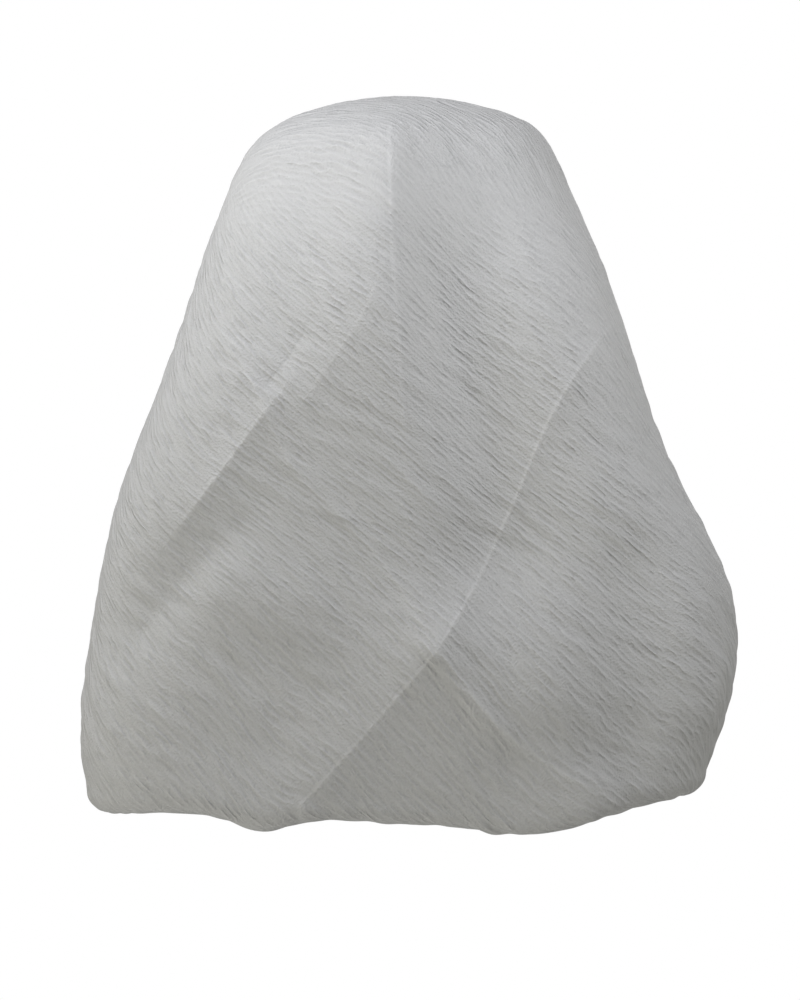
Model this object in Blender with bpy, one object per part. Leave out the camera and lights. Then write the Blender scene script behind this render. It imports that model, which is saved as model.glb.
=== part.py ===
"""Pre-tied bandana, in metres, +Z up, worn by a head that faces +Y.

The origin is the inside top of the crown, where the cloth rests on the head. The cloth goes over the crown
from the brow and falls behind the head to a bottom edge that is turned under.
"""

import math
from collections import namedtuple

import bmesh
import bpy
import numpy as np

# Overall sizes
HEIGHT = 0.280
HALF_WIDTH = 0.125
BACK_DEPTH = 0.112
BROW_DEPTH = 0.084

# Folds: the unit of their sizes, the step along their paths, and half of the strip in which the left width
# becomes the right one
CREASE_SIZE = 0.010
PATH_STEP = 0.004
SIDE_CHANGE = 0.002

# Cloth
CLOTH = 0.0015
HEM_CLOTH = 0.0012
CLEARANCE = 0.0003
FRONT_HEM_WIDTH = 0.018
EDGE_ROLL_RADIUS = 0.007
EDGE_ROLL_TURN = math.radians(150)
CORNER_ANGLE = math.radians(108)
CORNER_RISE_SHARE = 0.07

# Tie round the nape
TIE_WIDTH = 0.020
TIE_CLOTH = 0.002
TIE_FALL_SHARE = 0.56
TIE_GRIP_SHARE = 0.70
NAPE_DEPTH = 0.070
NAPE_DROP = 0.160
KNOT_WIDTH = 0.028
KNOT_HEIGHT = 0.022
KNOT_DEPTH = 0.016
TAIL_LENGTH = 0.055
TAIL_WIDTH = 0.016
TAIL_ANGLE = math.radians(14)

# Grid of the drape
COLUMNS = 46
HEM_ROWS = 2
HANG_ROWS = 36
ROLL_ROWS = 6
TIE_STEPS = 48

# Level sections from the crown to the start of the turned edge. drop is a share of HEIGHT, left and right are
# shares of HALF_WIDTH, back is a share of BACK_DEPTH and front of BROW_DEPTH. square is 2 for an ellipse, and
# the front half keeps only BROW_SQUARE of what is over 2.
BROW_SQUARE = 0.3
Section = namedtuple("Section", "fall drop left right back front square")
SECTIONS = (
    Section(0.00, 0.000, 0.000, 0.000, 0.00, 0.00, 2.0),
    Section(0.05, 0.004, 0.128, 0.140, 0.14, 0.18, 2.0),
    Section(0.10, 0.016, 0.248, 0.268, 0.27, 0.36, 2.0),
    Section(0.15, 0.036, 0.368, 0.388, 0.40, 0.53, 2.1),
    Section(0.20, 0.072, 0.462, 0.460, 0.52, 0.68, 2.3),
    Section(0.26, 0.133, 0.530, 0.522, 0.65, 0.84, 2.5),
    Section(0.34, 0.222, 0.603, 0.608, 0.77, 0.97, 2.8),
    Section(0.42, 0.311, 0.667, 0.678, 0.85, 0.97, 3.0),
    Section(0.50, 0.398, 0.736, 0.738, 0.89, 0.86, 3.2),
    Section(0.58, 0.480, 0.806, 0.800, 0.91, 0.72, 3.3),
    Section(0.66, 0.562, 0.866, 0.890, 0.93, 0.58, 3.4),
    Section(0.74, 0.652, 0.911, 0.985, 0.94, 0.50, 3.4),
    Section(0.82, 0.742, 0.943, 1.018, 0.96, 0.46, 3.4),
    Section(0.90, 0.832, 0.966, 1.006, 0.98, 0.43, 3.4),
    Section(0.96, 0.900, 0.966, 0.966, 0.99, 0.41, 3.4),
    Section(1.00, 0.945, 0.948, 0.925, 0.99, 0.40, 3.4),
)

# Lowest line of the turned edge, seen from behind
EdgeLevel = namedtuple("EdgeLevel", "across drop")
EDGE_LEVELS = (
    EdgeLevel(-1.00, 0.966),
    EdgeLevel(-0.84, 0.972),
    EdgeLevel(-0.66, 0.970),
    EdgeLevel(-0.50, 0.984),
    EdgeLevel(-0.42, 0.994),
    EdgeLevel(-0.30, 0.984),
    EdgeLevel(-0.05, 0.984),
    EdgeLevel(0.18, 0.990),
    EdgeLevel(0.36, 1.000),
    EdgeLevel(0.52, 0.990),
    EdgeLevel(0.68, 0.970),
    EdgeLevel(0.80, 0.956),
    EdgeLevel(1.00, 0.930),
)

# Edge round the face, from the middle of the brow down the right cheek. share is along the edge, turn is
# measured round the head from the back, in degrees.
FaceEdge = namedtuple("FaceEdge", "share turn fall")
FACE_EDGE = (
    FaceEdge(0.00, 180, 0.36),
    FaceEdge(0.18, 154, 0.37),
    FaceEdge(0.36, 132, 0.41),
    FaceEdge(0.55, 123, 0.52),
    FaceEdge(0.78, 117, 0.66),
    FaceEdge(1.00, 113, 0.78),
)

# Folds and pressed creases of the back, seen from behind. rise is outward and, like the widths to the left and
# right of the path, a share of CREASE_SIZE. spread is how many times wider the fold is at its end. crisp is 0
# for a round fold and 1 for a pressed edge. start and end are the shares of the path over which it fades. The
# path's points are (across, drop).
Fold = namedtuple("Fold", "name rise left right spread crisp start end path")
BACK_FOLDS = (
    Fold("crown_ridge", 0.60, 1.2, 3.4, 1.8, 0.6, 0.10, 0.6, (
        (-0.03, 0.01), (-0.03, 0.13), (-0.02, 0.25), (0.00, 0.40), (0.02, 0.60))),
    Fold("crown_ridge_bend", 0.08, 0.6, 0.6, 1.0, 0.9, 0.3, 0.3, (
        (-0.04, 0.20), (-0.09, 0.28), (-0.19, 0.35), (-0.27, 0.40), (-0.36, 0.46))),
    Fold("centre_valley", -1.30, 2.6, 1.5, 1.5, 0.0, 0.35, 0.22, (
        (0.04, 0.06), (0.08, 0.13), (0.13, 0.22), (0.17, 0.31), (0.24, 0.42), (0.31, 0.53), (0.30, 0.61),
        (0.23, 0.68), (0.15, 0.74))),
    Fold("upper_right_crease", 0.16, 0.8, 0.7, 1.0, 0.9, 0.0, 0.2, (
        (0.11, 0.75), (0.21, 0.67), (0.35, 0.54), (0.44, 0.45), (0.56, 0.35), (0.66, 0.29))),
    Fold("upper_right_swell", 0.25, 3.0, 3.0, 1.0, 0.0, 0.3, 0.3, (
        (0.30, 0.62), (0.44, 0.45), (0.52, 0.30), (0.40, 0.12))),
    Fold("lower_left_crease", 0.30, 1.4, 2.0, 1.0, 0.9, 0.0, 0.0, (
        (0.11, 0.75), (0.01, 0.80), (-0.15, 0.88), (-0.25, 0.93), (-0.36, 0.98))),
    Fold("lower_right_crease", 0.42, 1.2, 1.4, 1.0, 0.9, 0.0, 0.2, (
        (0.11, 0.75), (0.22, 0.81), (0.30, 0.85), (0.48, 0.91), (0.70, 0.955))),
    Fold("upper_left_crease", 0.07, 0.6, 0.6, 1.0, 1.0, 0.2, 0.1, (
        (-0.63, 0.30), (-0.52, 0.34), (-0.42, 0.41), (-0.34, 0.49), (-0.15, 0.58), (0.11, 0.75))),
    Fold("left_ridge", 0.26, 0.6, 0.8, 1.0, 0.9, 0.3, 0.4, (
        (-0.30, 0.365), (-0.48, 0.475), (-0.60, 0.545), (-0.76, 0.63))),
    Fold("left_valley", -0.40, 1.0, 1.1, 1.2, 0.3, 0.45, 0.25, (
        (-0.34, 0.48), (-0.44, 0.555), (-0.59, 0.62), (-0.76, 0.70), (-0.93, 0.79))),
    Fold("left_line", -0.12, 0.5, 0.6, 1.0, 0.8, 0.4, 0.1, (
        (-0.24, 0.27), (-0.31, 0.33), (-0.42, 0.40))),
    Fold("left_hollow", -0.35, 1.5, 1.5, 1.0, 0.0, 0.0, 0.0, (
        (-0.26, 0.13), (-0.29, 0.18), (-0.34, 0.26), (-0.37, 0.31))),
    Fold("right_hollow", -0.66, 2.2, 2.2, 1.0, 0.0, 0.0, 0.0, (
        (0.73, 0.65), (0.72, 0.74), (0.69, 0.83))),
    Fold("right_swell", 0.40, 2.2, 1.8, 1.0, 0.0, 0.0, 0.0, (
        (0.42, 0.68), (0.46, 0.80))),
    Fold("far_right_swell", 0.22, 1.3, 1.3, 1.0, 0.0, 0.0, 0.0, (
        (0.90, 0.60), (0.88, 0.72))),
    Fold("right_corner_fold", 0.30, 0.6, 1.2, 1.0, 0.6, 0.4, 0.4, (
        (0.99, 0.72), (0.94, 0.80), (0.90, 0.89))),
    Fold("low_right_hollow", -0.45, 1.5, 1.5, 1.0, 0.0, 0.0, 0.0, (
        (0.38, 0.895), (0.52, 0.905), (0.66, 0.90))),
    Fold("left_swell", 0.42, 1.8, 1.8, 1.0, 0.0, 0.0, 0.0, (
        (-0.50, 0.66), (-0.41, 0.68), (-0.33, 0.69))),
    Fold("mid_left_hollow", -0.20, 1.6, 1.6, 1.0, 0.0, 0.0, 0.0, (
        (-0.38, 0.77), (-0.30, 0.80))),
    Fold("low_left_hollow", -0.25, 1.4, 1.4, 1.0, 0.0, 0.0, 0.0, (
        (-0.54, 0.87), (-0.46, 0.885), (-0.40, 0.88))),
    Fold("top_right_band", -0.25, 1.2, 1.4, 1.0, 0.0, 0.0, 0.0, (
        (0.20, 0.04), (0.25, 0.10), (0.30, 0.18))),
    Fold("crossing_peak", 0.32, 2.8, 2.8, 1.0, 0.0, 0.0, 0.0, (
        (0.10, 0.75), (0.12, 0.75))),
    Fold("bottom_facet", -0.85, 4.0, 4.0, 1.0, 0.0, 0.0, 0.0, (
        (-0.06, 1.08), (0.12, 1.06), (0.32, 1.08))),
)

# Soft folds of the cheeks, seen from the side. The path's points are (share of BACK_DEPTH forward, drop).
SIDE_FOLDS = (
    Fold("temple_hollow", -0.20, 1.6, 1.6, 1.0, 0.0, 0.3, 0.3, (
        (0.40, 0.34), (0.24, 0.50), (0.14, 0.66), (0.10, 0.86))),
    Fold("cheek_swell", 0.15, 1.6, 1.6, 1.0, 0.0, 0.3, 0.3, (
        (0.20, 0.36), (0.05, 0.52), (-0.05, 0.70))),
)

# Colours, linear
PALE_GREY = (0.45, 0.46, 0.45, 1.0)
CLOTH_ROUGHNESS = 0.9


def smooth_curve(knots, values, at):
    """Values at some places on a natural cubic spline through the knots."""
    knots = np.asarray(knots, float)
    values = np.asarray(values, float)
    step = np.diff(knots)
    slope = np.diff(values) / step
    system = np.eye(len(knots))
    bend = np.zeros(len(knots))
    for i in range(1, len(knots) - 1):
        system[i, i - 1 : i + 2] = step[i - 1], 2 * (step[i - 1] + step[i]), step[i]
        bend[i] = 6 * (slope[i] - slope[i - 1])
    bend = np.linalg.solve(system, bend)
    i = np.clip(np.searchsorted(knots, at) - 1, 0, len(knots) - 2)
    ahead = knots[i + 1] - at
    behind = at - knots[i]
    cubic = (bend[i] * ahead**3 + bend[i + 1] * behind**3) / (6 * step[i])
    near = (values[i] / step[i] - bend[i] * step[i] / 6) * ahead
    far = (values[i + 1] / step[i] - bend[i + 1] * step[i] / 6) * behind
    return cubic + near + far


def ease(low, high, at):
    """0 up to low, 1 from high on, and a smooth rise between them."""
    share = np.clip((at - low) / (high - low), 0, 1)
    return share * share * (3 - 2 * share)


def section_size(column, fall):
    """One column of SECTIONS at some falls. The rows are mirrored past the crown, so that it closes round."""
    knots = [row.fall for row in SECTIONS]
    values = [getattr(row, column) for row in SECTIONS]
    sign = 1 if column in ("drop", "square") else -1
    knots = [-k for k in knots[:0:-1]] + knots
    values = [sign * v for v in values[:0:-1]] + values
    return smooth_curve(knots, values, fall)


def hang_length():
    """Length of cloth from the crown to the start of the turned edge, down one side."""
    fall = np.linspace(0, 1, 200)
    out = section_size("left", fall) * HALF_WIDTH
    down = section_size("drop", fall) * HEIGHT
    return float(np.hypot(np.diff(out), np.diff(down)).sum())


ROLL_FALL = EDGE_ROLL_RADIUS * EDGE_ROLL_TURN / hang_length()


def hood(turn, fall):
    """Points of the smooth hood. turn is measured round the head from the back, fall from the crown down."""
    hung = np.minimum(fall, 1)
    left = section_size("left", hung) * HALF_WIDTH
    right = section_size("right", hung) * HALF_WIDTH
    back = section_size("back", hung) * BACK_DEPTH
    front = section_size("front", hung) * BROW_DEPTH
    square = section_size("square", hung) - 2
    square = 2 + square * np.where(np.cos(turn) > 0, 1, BROW_SQUARE)
    half_width = np.maximum((left + right) / 2, 1e-9)
    half_depth = np.maximum((back + front) / 2, 1e-9)
    side = np.abs(np.sin(turn)) / half_width
    depth = np.abs(np.cos(turn)) / half_depth
    reach = (side**square + depth**square) ** (-1 / square)
    roll = np.clip((fall - 1) / ROLL_FALL, 0, 1) * EDGE_ROLL_TURN
    reach = reach - EDGE_ROLL_RADIUS * (1 - np.cos(roll))
    x = (right - left) / 2 + reach * np.sin(turn)
    y = (front - back) / 2 - reach * np.cos(turn)
    down = section_size("drop", hung) * HEIGHT + EDGE_ROLL_RADIUS * np.sin(roll)
    across = [row.across for row in EDGE_LEVELS]
    lowest = smooth_curve(across, [row.drop for row in EDGE_LEVELS], np.clip(x / HALF_WIDTH, -1, 1)) * HEIGHT
    plain = SECTIONS[-1].drop * HEIGHT + EDGE_ROLL_RADIUS
    down = down + (lowest - plain) * ease(0.7, 1.0, hung)
    return np.stack([x, y, CLOTH - down], -1)


def turn_and_fall(u, v):
    """Turn and fall of the cloth's u and v. u goes from left to right, v from the face edge to the hem."""
    share = [row.share for row in FACE_EDGE]
    ahead = [180 - row.turn for row in FACE_EDGE]
    fall = [row.fall for row in FACE_EDGE]
    share = [-k for k in share[:0:-1]] + share
    ahead = [-k for k in ahead[:0:-1]] + ahead
    fall = fall[:0:-1] + fall
    face_turn = math.pi - np.radians(smooth_curve(share, ahead, u))
    face_fall = smooth_curve(share, fall, u)
    hem_turn = u * CORNER_ANGLE
    hem_fall = 1 + ROLL_FALL - CORNER_RISE_SHARE * u**10
    side = (1 - v) * face_fall * np.sin(face_turn) + v * hem_fall * np.sin(hem_turn)
    behind = (1 - v) * face_fall * np.cos(face_turn) + v * hem_fall * np.cos(hem_turn)
    return np.arctan2(side, behind), np.hypot(side, behind)


def place(u, v):
    """Points of the smooth hood at the cloth's u and v."""
    return hood(*turn_and_fall(u, v))


def facing(points_at, u, v):
    """Outward unit normals of a surface given by a function of u and v."""
    step = 1e-4
    along = points_at(u + step, v) - points_at(u - step, v)
    down = points_at(u, v + step) - points_at(u, v - step)
    normal = np.cross(down, along)
    return normal / np.maximum(np.linalg.norm(normal, axis=-1, keepdims=True), 1e-12)


def fold_height(fold, a, b, size_a, size_b):
    """Height of one fold at places a, b, in metres. Its path is a smooth curve through its points."""
    points = np.array(fold.path, float) * (size_a, size_b)
    marks = np.concatenate([[0], np.hypot(*np.diff(points, axis=0).T).cumsum()])
    run = np.linspace(0, marks[-1], 2 + int(marks[-1] / PATH_STEP))
    path_a, path_b = (smooth_curve(marks, points[:, k], run) for k in (0, 1))
    apart = (a[..., None] - path_a) ** 2 + (b[..., None] - path_b) ** 2
    weight = np.exp((apart.min(-1, keepdims=True) - apart) / PATH_STEP**2)
    weight = weight / weight.sum(-1, keepdims=True)
    off_a = a - weight @ path_a
    off_b = b - weight @ path_b
    side = off_a * (weight @ np.gradient(path_b, run)) - off_b * (weight @ np.gradient(path_a, run))
    share = weight @ run / marks[-1]
    width = CREASE_SIZE * (fold.right + (fold.left - fold.right) * ease(-1, 1, side / SIDE_CHANGE))
    reach = np.hypot(off_a, off_b) / (width * (1 + (fold.spread - 1) * share))
    rounded = np.exp(-(reach**2))
    pressed = np.exp(-(np.sqrt(reach**2 + 0.01) - 0.1) * 1.4)
    fade = np.ones(a.shape)
    if fold.start:
        fade = ease(0, fold.start, share)
    if fold.end:
        fade = fade * ease(0, fold.end, 1 - share)
    return fold.rise * CREASE_SIZE * fade * (fold.crisp * pressed + (1 - fold.crisp) * rounded)


def relief(points, normals):
    """Height of all folds on the hood's points, in metres."""
    x, y, down = points[..., 0], points[..., 1], -points[..., 2]
    back = sum(fold_height(fold, x, down, HALF_WIDTH, HEIGHT) for fold in BACK_FOLDS)
    cheek = sum(fold_height(fold, y, down, BACK_DEPTH, HEIGHT) for fold in SIDE_FOLDS)
    behind = ease(0.05, 0.45, -normals[..., 1])
    beside = ease(0.5, 0.9, np.abs(normals[..., 0])) * ease(-0.15, 0.1, normals[..., 1])
    return back * behind + cheek * beside


def draped(turn, fall):
    """Outer face of the drape at a turn and a fall. The rolled edge goes with the folds just above it."""
    hung = np.minimum(fall, 1)
    normals = facing(hood, turn, hung)
    return hood(turn, fall) + normals * relief(hood(turn, hung), normals)[..., None]


def cloth(u, v):
    """Outer face of the drape at the cloth's u and v."""
    return draped(*turn_and_fall(u, v))


def cloth_grid():
    """The grid's u and v. Its first rows hold the front hem, and its last ones the roll of the bottom edge."""
    u = np.linspace(-1, 1, COLUMNS + 1)
    step = 1e-3
    stretch = np.linalg.norm(place(u, np.full_like(u, step)) - place(u, np.zeros_like(u)), axis=-1) / step
    hem = FRONT_HEM_WIDTH / stretch
    hang = 1 - ROLL_FALL / (1 + ROLL_FALL + FACE_EDGE[0].fall)
    rows = [hem * k / HEM_ROWS for k in range(HEM_ROWS)]
    rows += [hem + (hang - hem) * k / HANG_ROWS for k in range(HANG_ROWS)]
    rows += [np.full_like(u, hang + (1 - hang) * k / ROLL_ROWS) for k in range(ROLL_ROWS + 1)]
    return np.broadcast_to(u, (len(rows), len(u))), np.array(rows)


def add_object(name, mesh, colour):
    """One named object with its own material."""
    item = bpy.data.objects.new(name, mesh)
    bpy.context.scene.collection.objects.link(item)
    material = bpy.data.materials.new(name + "_cloth")
    material.use_nodes = True
    shader = material.node_tree.nodes["Principled BSDF"]
    shader.inputs["Base Color"].default_value = colour
    shader.inputs["Roughness"].default_value = CLOTH_ROUGHNESS
    mesh.materials.append(material)
    mesh.shade_smooth()
    mesh.set_sharp_from_angle(angle=math.radians(40))
    return item


def wall_mesh(name, outer, inner):
    """A closed wall between two grids of points."""
    rows, columns = outer.shape[:2]
    shape = bmesh.new()
    front, back = ([[shape.verts.new(point) for point in row] for row in points] for points in (outer, inner))
    for r in range(rows - 1):
        for c in range(columns - 1):
            ring = ((r, c), (r + 1, c), (r + 1, c + 1), (r, c + 1))
            for half in ((0, 1, 2), (0, 2, 3)):
                shape.faces.new([front[ring[k][0]][ring[k][1]] for k in half])
                shape.faces.new([back[ring[k][0]][ring[k][1]] for k in reversed(half)])
    rim = [(r, 0) for r in range(rows)] + [(rows - 1, c) for c in range(1, columns)]
    rim += [(r, columns - 1) for r in range(rows - 2, -1, -1)] + [(0, c) for c in range(columns - 2, 0, -1)]
    for (r, c), (r_next, c_next) in zip(rim, rim[1:] + rim[:1]):
        shape.faces.new([front[r_next][c_next], front[r][c], back[r][c], back[r_next][c_next]])
    mesh = bpy.data.meshes.new(name)
    shape.to_mesh(mesh)
    shape.free()
    return mesh


def add_layer(name, rows, depth, thickness):
    """A wall under some rows of the cloth's outer face, which starts at a depth from it."""
    u, v = (grid[rows] for grid in cloth_grid())
    face = cloth(u, v)
    inward = -facing(cloth, u, v)
    return add_object(name, wall_mesh(name, face + inward * depth, face + inward * (depth + thickness)), PALE_GREY)


def add_drape():
    """The main cloth."""
    return add_layer("drape", slice(None), 0, CLOTH)


def add_front_hem():
    """The turned-in hem that lines the face edge."""
    return add_layer("front_hem", slice(HEM_ROWS + 1), CLOTH + CLEARANCE, HEM_CLOTH)


def tie_end():
    """Turn of the tie's right end, just behind the front hem."""
    edge = np.interp(TIE_FALL_SHARE, [row.fall for row in FACE_EDGE], [row.turn for row in FACE_EDGE])
    half_width = float(section_size("left", TIE_FALL_SHARE)) * HALF_WIDTH
    return math.radians(edge) - (FRONT_HEM_WIDTH + TIE_WIDTH / 3) / half_width


def tie_face(s, k):
    """Outer face of the tie. s goes from its left end to its right end, k from its upper edge to its lower."""
    step = 1e-3
    turn = tie_end() * s
    level = np.full_like(turn, TIE_FALL_SHARE)
    stretch = np.linalg.norm(hood(turn, level + step) - hood(turn, level), axis=-1) / step
    fall = level + (k - 0.5) * TIE_WIDTH / stretch
    wall = draped(turn, fall) - facing(draped, turn, fall) * (CLOTH + CLEARANCE)
    end_x, end_y, end_z = hood(tie_end(), TIE_FALL_SHARE)
    round_nape = s * math.pi / 2
    nape_x = end_x * np.sin(round_nape)
    nape_y = end_y - (end_y + NAPE_DEPTH) * np.cos(round_nape)
    nape_z = end_z - (end_z + NAPE_DROP) * np.cos(round_nape) - (k - 0.5) * TIE_WIDTH
    held = ease(TIE_GRIP_SHARE, 1, np.abs(s))[..., None]
    return wall * held + np.stack([nape_x, nape_y, nape_z], -1) * (1 - held)


def box_mesh(name, low, high):
    """A plain box between two corners."""
    shape = bmesh.new()
    bmesh.ops.create_cube(shape, size=1)
    middle = (np.array(low) + high) / 2
    size = np.array(high) - low
    bmesh.ops.scale(shape, vec=size, verts=shape.verts)
    bmesh.ops.translate(shape, vec=middle, verts=shape.verts)
    mesh = bpy.data.meshes.new(name)
    shape.to_mesh(mesh)
    shape.free()
    return mesh


def add_guide(name, mesh):
    """A shape that a Boolean joins to a piece."""
    item = bpy.data.objects.new(name, mesh)
    bpy.context.scene.collection.objects.link(item)
    item.hide_render = True
    item.display_type = "WIRE"
    return item


def join_shape(item, guide):
    """Union of a piece with a guide shape."""
    union = item.modifiers.new(guide.name, "BOOLEAN")
    union.operation = "UNION"
    union.object = guide


def add_nape_tie():
    """The ready-made tie with its knot and two short ends, one body."""
    s, k = np.meshgrid(np.linspace(-1, 1, TIE_STEPS + 1), np.linspace(0, 1, 3))
    outer = tie_face(s, k)
    inner = outer - facing(tie_face, s, k) * TIE_CLOTH
    tie = add_object("nape_tie", wall_mesh("nape_tie", outer, inner), PALE_GREY)
    middle = (0, -NAPE_DEPTH - KNOT_DEPTH / 4, -NAPE_DROP)
    shape = bmesh.new()
    bmesh.ops.create_uvsphere(shape, u_segments=14, v_segments=10, radius=0.5)
    bmesh.ops.scale(shape, vec=(KNOT_WIDTH, KNOT_DEPTH, KNOT_HEIGHT), verts=shape.verts)
    bmesh.ops.translate(shape, vec=middle, verts=shape.verts)
    knot = bpy.data.meshes.new("knot")
    shape.to_mesh(knot)
    shape.free()
    join_shape(tie, add_guide("knot", knot))
    for name, lean in (("left_tail", TAIL_ANGLE), ("right_tail", -TAIL_ANGLE)):
        low = (-TAIL_WIDTH / 2, -TIE_CLOTH / 2, -TAIL_LENGTH)
        high = (TAIL_WIDTH / 2, TIE_CLOTH / 2, 0)
        tail = add_guide(name, box_mesh(name, low, high))
        tail.location = middle
        tail.rotation_euler = (0, lean, 0)
        join_shape(tie, tail)


def main():
    for item in list(bpy.data.objects):
        bpy.data.objects.remove(item)
    add_drape()
    add_front_hem()
    add_nape_tie()


main()
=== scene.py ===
"""Pre-tied bandana of crinkled cotton gauze, dressed round its solid frame.

The cloth is a finer copy of the frame's drape, with its crinkle, its stitched hem and its tie. Metres, +Z up,
and the wearer faces +Y.
"""

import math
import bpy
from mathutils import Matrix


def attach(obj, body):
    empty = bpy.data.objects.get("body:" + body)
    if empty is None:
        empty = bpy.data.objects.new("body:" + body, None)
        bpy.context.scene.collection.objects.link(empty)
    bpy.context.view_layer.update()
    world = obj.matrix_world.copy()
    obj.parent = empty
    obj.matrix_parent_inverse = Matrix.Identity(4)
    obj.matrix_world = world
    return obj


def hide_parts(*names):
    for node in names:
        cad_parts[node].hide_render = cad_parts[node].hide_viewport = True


bl_info = {
    "name": "Pre-tied bandana",
    "version": (1, 0, 0),
    "blender": (4, 5, 0),
    "location": "3D View > Sidebar > Bandana",
    "description": "Builds the cloth, hem, tie and studio of a pre-tied bandana",
    "category": "Object",
}

from collections import namedtuple

import bpy
import numpy as np
from bpy.props import FloatProperty, FloatVectorProperty, IntProperty, PointerProperty, StringProperty
from mathutils import Vector

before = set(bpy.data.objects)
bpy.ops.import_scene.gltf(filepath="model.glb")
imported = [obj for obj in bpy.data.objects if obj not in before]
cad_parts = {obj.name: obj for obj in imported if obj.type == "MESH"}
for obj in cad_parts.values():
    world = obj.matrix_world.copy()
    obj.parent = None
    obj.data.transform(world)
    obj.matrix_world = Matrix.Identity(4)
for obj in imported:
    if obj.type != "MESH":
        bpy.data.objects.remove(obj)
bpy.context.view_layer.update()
MM = 0.001

# Overall sizes of the worn cloth, the same as its solid's
HEIGHT = 0.280
HALF_WIDTH = 0.125
BACK_DEPTH = 0.112
BROW_DEPTH = 0.084
CLOTH = 0.0015
CLEARANCE = 0.0003
FRONT_HEM_WIDTH = 0.018
EDGE_ROLL_RADIUS = 0.007
EDGE_ROLL_TURN = math.radians(150)
CORNER_ANGLE = math.radians(108)
CORNER_RISE_SHARE = 0.07

# Folds: the unit of their sizes, the step along their paths, and half of the strip in which the left width
# becomes the right one
CREASE_SIZE = 0.010
PATH_STEP = 0.004
SIDE_CHANGE = 0.002

# A pressed edge: how far it is rounded and how fast it falls, for a fold 1 wide
PRESS_ROUND = 0.1
PRESS_FALL = 1.4

# Where folds fade in: how far the cloth faces back, and how far it faces to a side and forward
BACK_FACING = (0.05, 0.45)
CHEEK_FACING = (0.5, 0.9)
FORWARD_FACING = (-0.15, 0.1)

# Tie round the nape
TIE_WIDTH = 0.020
TIE_FALL_SHARE = 0.56
TIE_GRIP_SHARE = 0.70
NAPE_DEPTH = 0.070
NAPE_DROP = 0.160

# Level sections from the crown to the start of the turned edge. drop is a share of HEIGHT, left and right are
# shares of HALF_WIDTH, back is a share of BACK_DEPTH and front of BROW_DEPTH. square is 2 for an ellipse, and
# the front half keeps only BROW_SQUARE of what is over 2.
BROW_SQUARE = 0.3
Section = namedtuple("Section", "fall drop left right back front square")
SECTIONS = (
    Section(0.00, 0.000, 0.000, 0.000, 0.00, 0.00, 2.0),
    Section(0.05, 0.004, 0.128, 0.140, 0.14, 0.18, 2.0),
    Section(0.10, 0.016, 0.248, 0.268, 0.27, 0.36, 2.0),
    Section(0.15, 0.036, 0.368, 0.388, 0.40, 0.53, 2.1),
    Section(0.20, 0.072, 0.462, 0.460, 0.52, 0.68, 2.3),
    Section(0.26, 0.133, 0.530, 0.522, 0.65, 0.84, 2.5),
    Section(0.34, 0.222, 0.603, 0.608, 0.77, 0.97, 2.8),
    Section(0.42, 0.311, 0.667, 0.678, 0.85, 0.97, 3.0),
    Section(0.50, 0.398, 0.736, 0.738, 0.89, 0.86, 3.2),
    Section(0.58, 0.480, 0.806, 0.800, 0.91, 0.72, 3.3),
    Section(0.66, 0.562, 0.866, 0.890, 0.93, 0.58, 3.4),
    Section(0.74, 0.652, 0.911, 0.985, 0.94, 0.50, 3.4),
    Section(0.82, 0.742, 0.943, 1.018, 0.96, 0.46, 3.4),
    Section(0.90, 0.832, 0.966, 1.006, 0.98, 0.43, 3.4),
    Section(0.96, 0.900, 0.966, 0.966, 0.99, 0.41, 3.4),
    Section(1.00, 0.945, 0.948, 0.925, 0.99, 0.40, 3.4),
)

# Lowest line of the turned edge, seen from behind
EdgeLevel = namedtuple("EdgeLevel", "across drop")
EDGE_LEVELS = (
    EdgeLevel(-1.00, 0.966),
    EdgeLevel(-0.84, 0.972),
    EdgeLevel(-0.66, 0.970),
    EdgeLevel(-0.50, 0.984),
    EdgeLevel(-0.42, 0.994),
    EdgeLevel(-0.30, 0.984),
    EdgeLevel(-0.05, 0.984),
    EdgeLevel(0.18, 0.990),
    EdgeLevel(0.36, 1.000),
    EdgeLevel(0.52, 0.990),
    EdgeLevel(0.68, 0.970),
    EdgeLevel(0.80, 0.956),
    EdgeLevel(1.00, 0.930),
)

# Edge round the face, from the middle of the brow down the right cheek. share is along the edge, turn is
# measured round the head from the back, in degrees.
FaceEdge = namedtuple("FaceEdge", "share turn fall")
FACE_EDGE = (
    FaceEdge(0.00, 180, 0.36),
    FaceEdge(0.18, 154, 0.37),
    FaceEdge(0.36, 132, 0.41),
    FaceEdge(0.55, 123, 0.52),
    FaceEdge(0.78, 117, 0.66),
    FaceEdge(1.00, 113, 0.78),
)

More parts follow.
